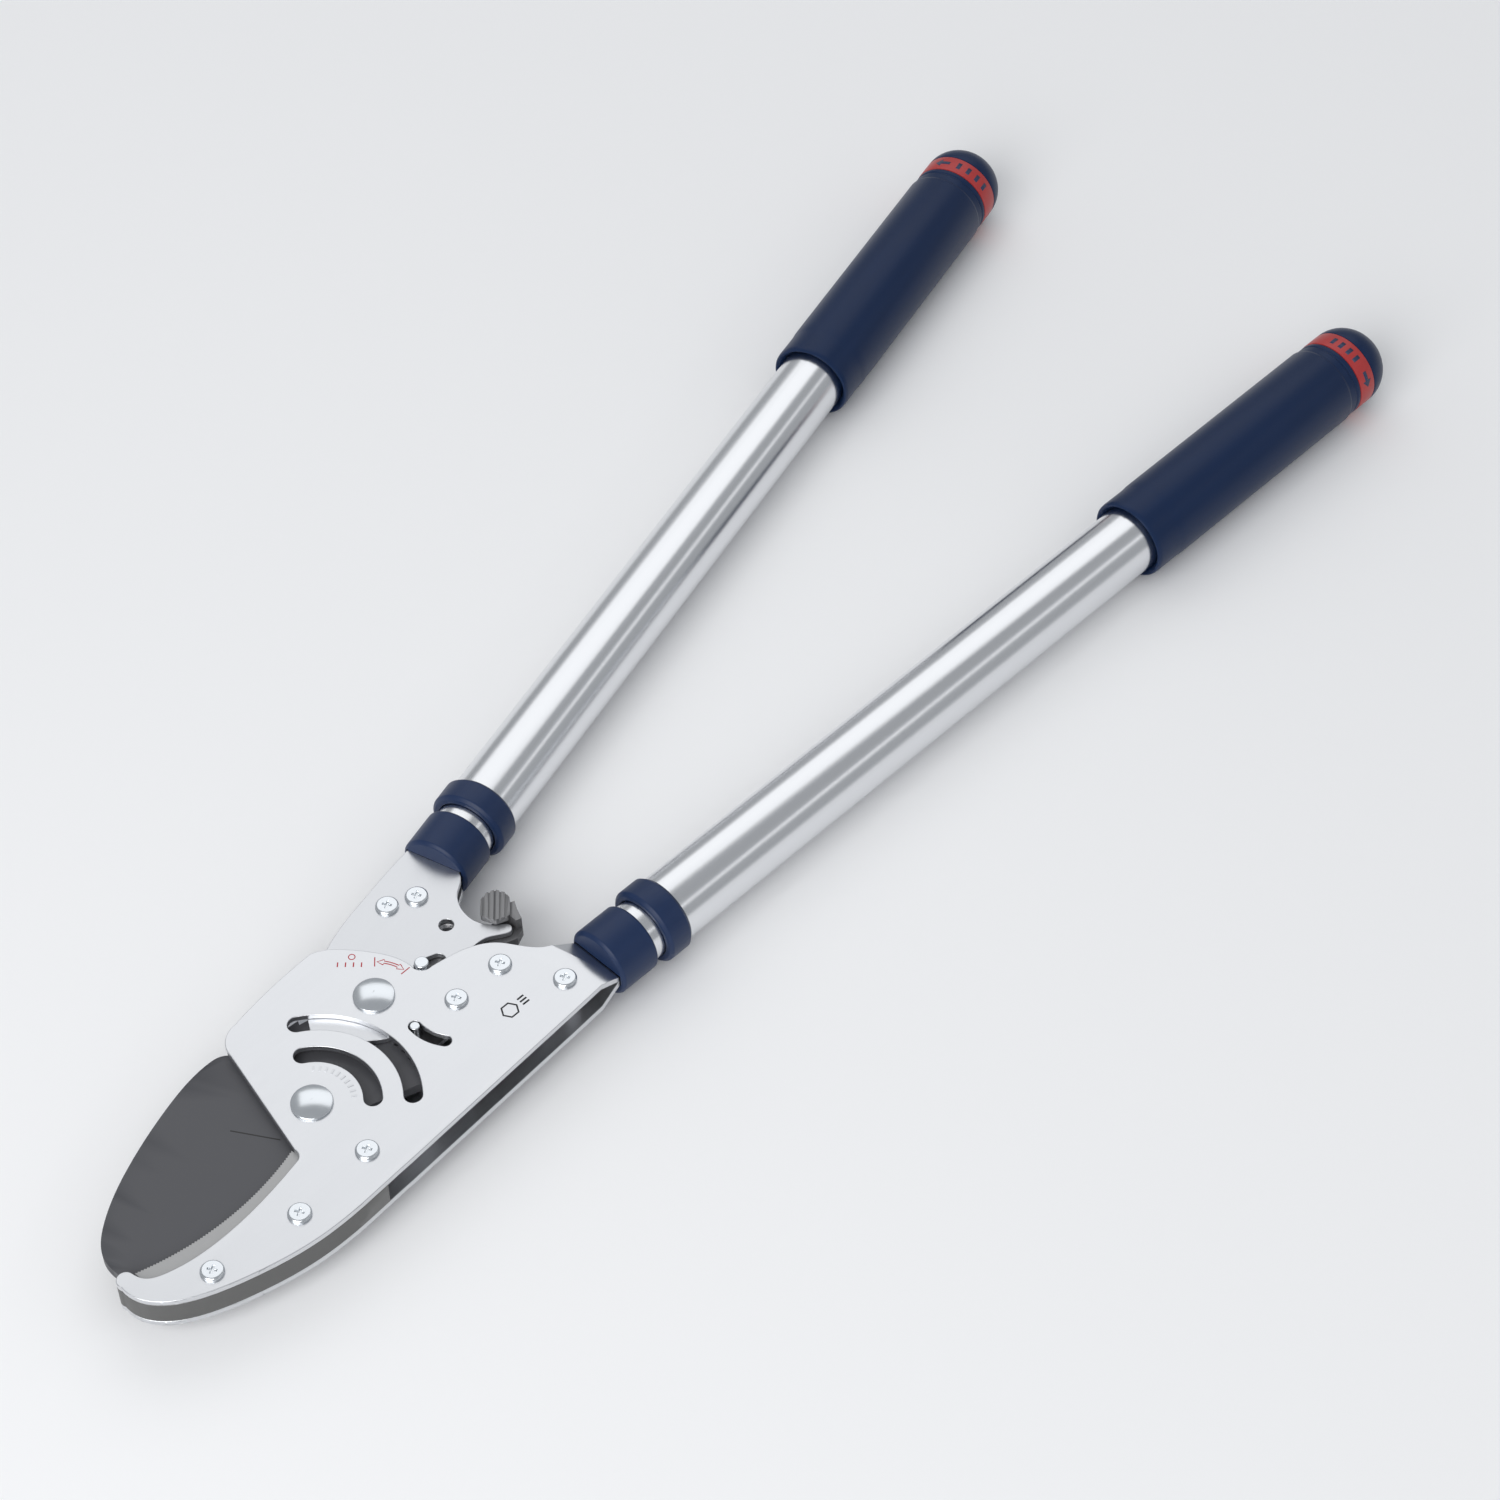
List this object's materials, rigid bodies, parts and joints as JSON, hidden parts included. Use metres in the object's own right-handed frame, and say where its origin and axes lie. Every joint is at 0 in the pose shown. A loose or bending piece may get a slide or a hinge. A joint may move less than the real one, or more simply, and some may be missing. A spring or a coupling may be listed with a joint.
{
  "type": "telescopic ratchet anvil loppers",
  "caption": "Telescopic ratchet anvil loppers: a coated curved blade closes on a flat anvil between slotted steel plates, with a thumb lock, round grips and twist-locking tube handles.",
  "frame": {"origin": "under the middle of the tool's box, on the surface it lies on", "axes": "+X along the fixed handle from jaw to grip, +Z square to the frame plates, towards the slotted front plate, +Y towards the moving handle"},
  "size_m": [0.6826, 0.2366, 0.0356],
  "materials": {
    "plate_steel": "satin plated sheet with faint streaks",
    "arm_steel": "satin plated sheet",
    "carrier_grey": "dark grey cast metal, matt",
    "anvil_grey": "light grey, finely serrated face",
    "blade_coating": "charcoal non-stick coating, satin",
    "bright_steel": "mirror-bright plating",
    "plain_steel": "plain zinc-plated steel",
    "lever_grey": "dark grey die-cast metal, matt",
    "navy_plastic": "navy moulded plastic, satin",
    "navy_grip": "soft navy grip skin, satin",
    "red_band": "red moulded ring",
    "tube_aluminium": "satin anodised tube",
    "inner_plastic": "black moulded plastic"
  },
  "bodies": {
    "frame": {"front_plate": "plate_steel", "back_plate": "plate_steel", "jaw_carrier": "carrier_grey", "anvil_strip": "anvil_grey", "frame_screws": "bright_steel", "frame_nuts": "plain_steel", "neck_spacers": "plain_steel", "pawl_sleeve": "plain_steel", "blade_rivet": "bright_steel", "blade_washers": "plain_steel", "handle_rivet": "bright_steel", "holding_pawl_spring": "plain_steel", "lower_ferrule": "navy_plastic", "lower_tang_plug": "inner_plastic", "lower_inner_tube": "tube_aluminium", "lower_lock_core": "inner_plastic"},
    "blade": {"blade": "blade_coating"},
    "arm": {"front_arm_plate": "arm_steel", "back_arm_plate": "arm_steel", "arm_screws": "bright_steel", "arm_nuts": "plain_steel", "arm_spacers": "plain_steel", "arm_bush": "plain_steel", "drive_pawl_pin": "plain_steel", "drive_pawl_spring": "plain_steel", "lock_spring": "plain_steel", "upper_ferrule": "navy_plastic", "upper_tang_plug": "inner_plastic", "upper_inner_tube": "tube_aluminium", "upper_lock_core": "inner_plastic"},
    "drive_pawl": {"drive_pawl": "plain_steel"},
    "holding_pawl": {"holding_pawl": "plain_steel", "holding_pawl_pin": "bright_steel"},
    "lock_lever": {"lock_lever": "lever_grey", "lock_pin": "bright_steel"},
    "upper_lock_ring": {"upper_lock_ring": "inner_plastic"},
    "lower_lock_ring": {"lower_lock_ring": "inner_plastic"},
    "upper_handle": {"upper_outer_tube": "tube_aluminium", "upper_collar": "navy_plastic", "upper_grip": "navy_grip", "upper_grip_band": "red_band", "upper_grip_cap": "navy_plastic"},
    "lower_handle": {"lower_outer_tube": "tube_aluminium", "lower_collar": "navy_plastic", "lower_grip": "navy_grip", "lower_grip_band": "red_band", "lower_grip_cap": "navy_plastic"}
  },
  "joints": [
    {"name": "arm_swing", "type": "hinge", "parent": "frame", "child": "arm", "pos_m": [-0.19147, -0.05106, 0.0178], "axis": [0, 0, 1], "range_deg": [0, 77]},
    {"name": "blade_swing", "type": "hinge", "parent": "frame", "child": "blade", "pos_m": [-0.24047, -0.07136, 0.0178], "axis": [0, 0, -1], "range_deg": [0, 50]},
    {"name": "holding_pawl_swing", "type": "hinge", "parent": "frame", "child": "holding_pawl", "pos_m": [-0.17117, -0.07486, 0.0178], "axis": [0, 0, 1], "range_deg": [0, 41]},
    {"name": "drive_pawl_swing", "type": "hinge", "parent": "arm", "child": "drive_pawl", "pos_m": [-0.19147, -0.06526, 0.0178], "axis": [0, 0, -1], "range_deg": [0, 6], "stiffness_Nm_per_rad": 0.01},
    {"name": "lock_slide", "type": "slide", "parent": "arm", "child": "lock_lever", "axis": [0.9397, -0.342, 0], "range_m": [0, 0.0065]},
    {"name": "upper_twist", "type": "hinge", "parent": "arm", "child": "upper_lock_ring", "pos_m": [-0.13053, -0.01744, 0.0178], "axis": [0.9638, 0.2666, 0], "range_deg": [0, 90]},
    {"name": "upper_extend", "type": "slide", "parent": "upper_lock_ring", "child": "upper_handle", "axis": [0.9638, 0.2666, 0], "range_m": [0, 0.32]},
    {"name": "lower_twist", "type": "hinge", "parent": "frame", "child": "lower_lock_ring", "pos_m": [-0.11907, -0.09669, 0.0178], "axis": [1, 0, 0], "range_deg": [0, 90]},
    {"name": "lower_extend", "type": "slide", "parent": "lower_lock_ring", "child": "lower_handle", "axis": [1, 0, 0], "range_m": [0, 0.32]}
  ],
  "couplings": [
    {"joint": "blade_swing", "follows": "arm_swing", "ratio": 0.649},
    {"joint": "holding_pawl_swing", "follows": "arm_swing", "ratio": 0.532},
    {"joint": "lock_slide", "follows": "arm_swing", "m_per_rad": 0.00483}
  ]
}
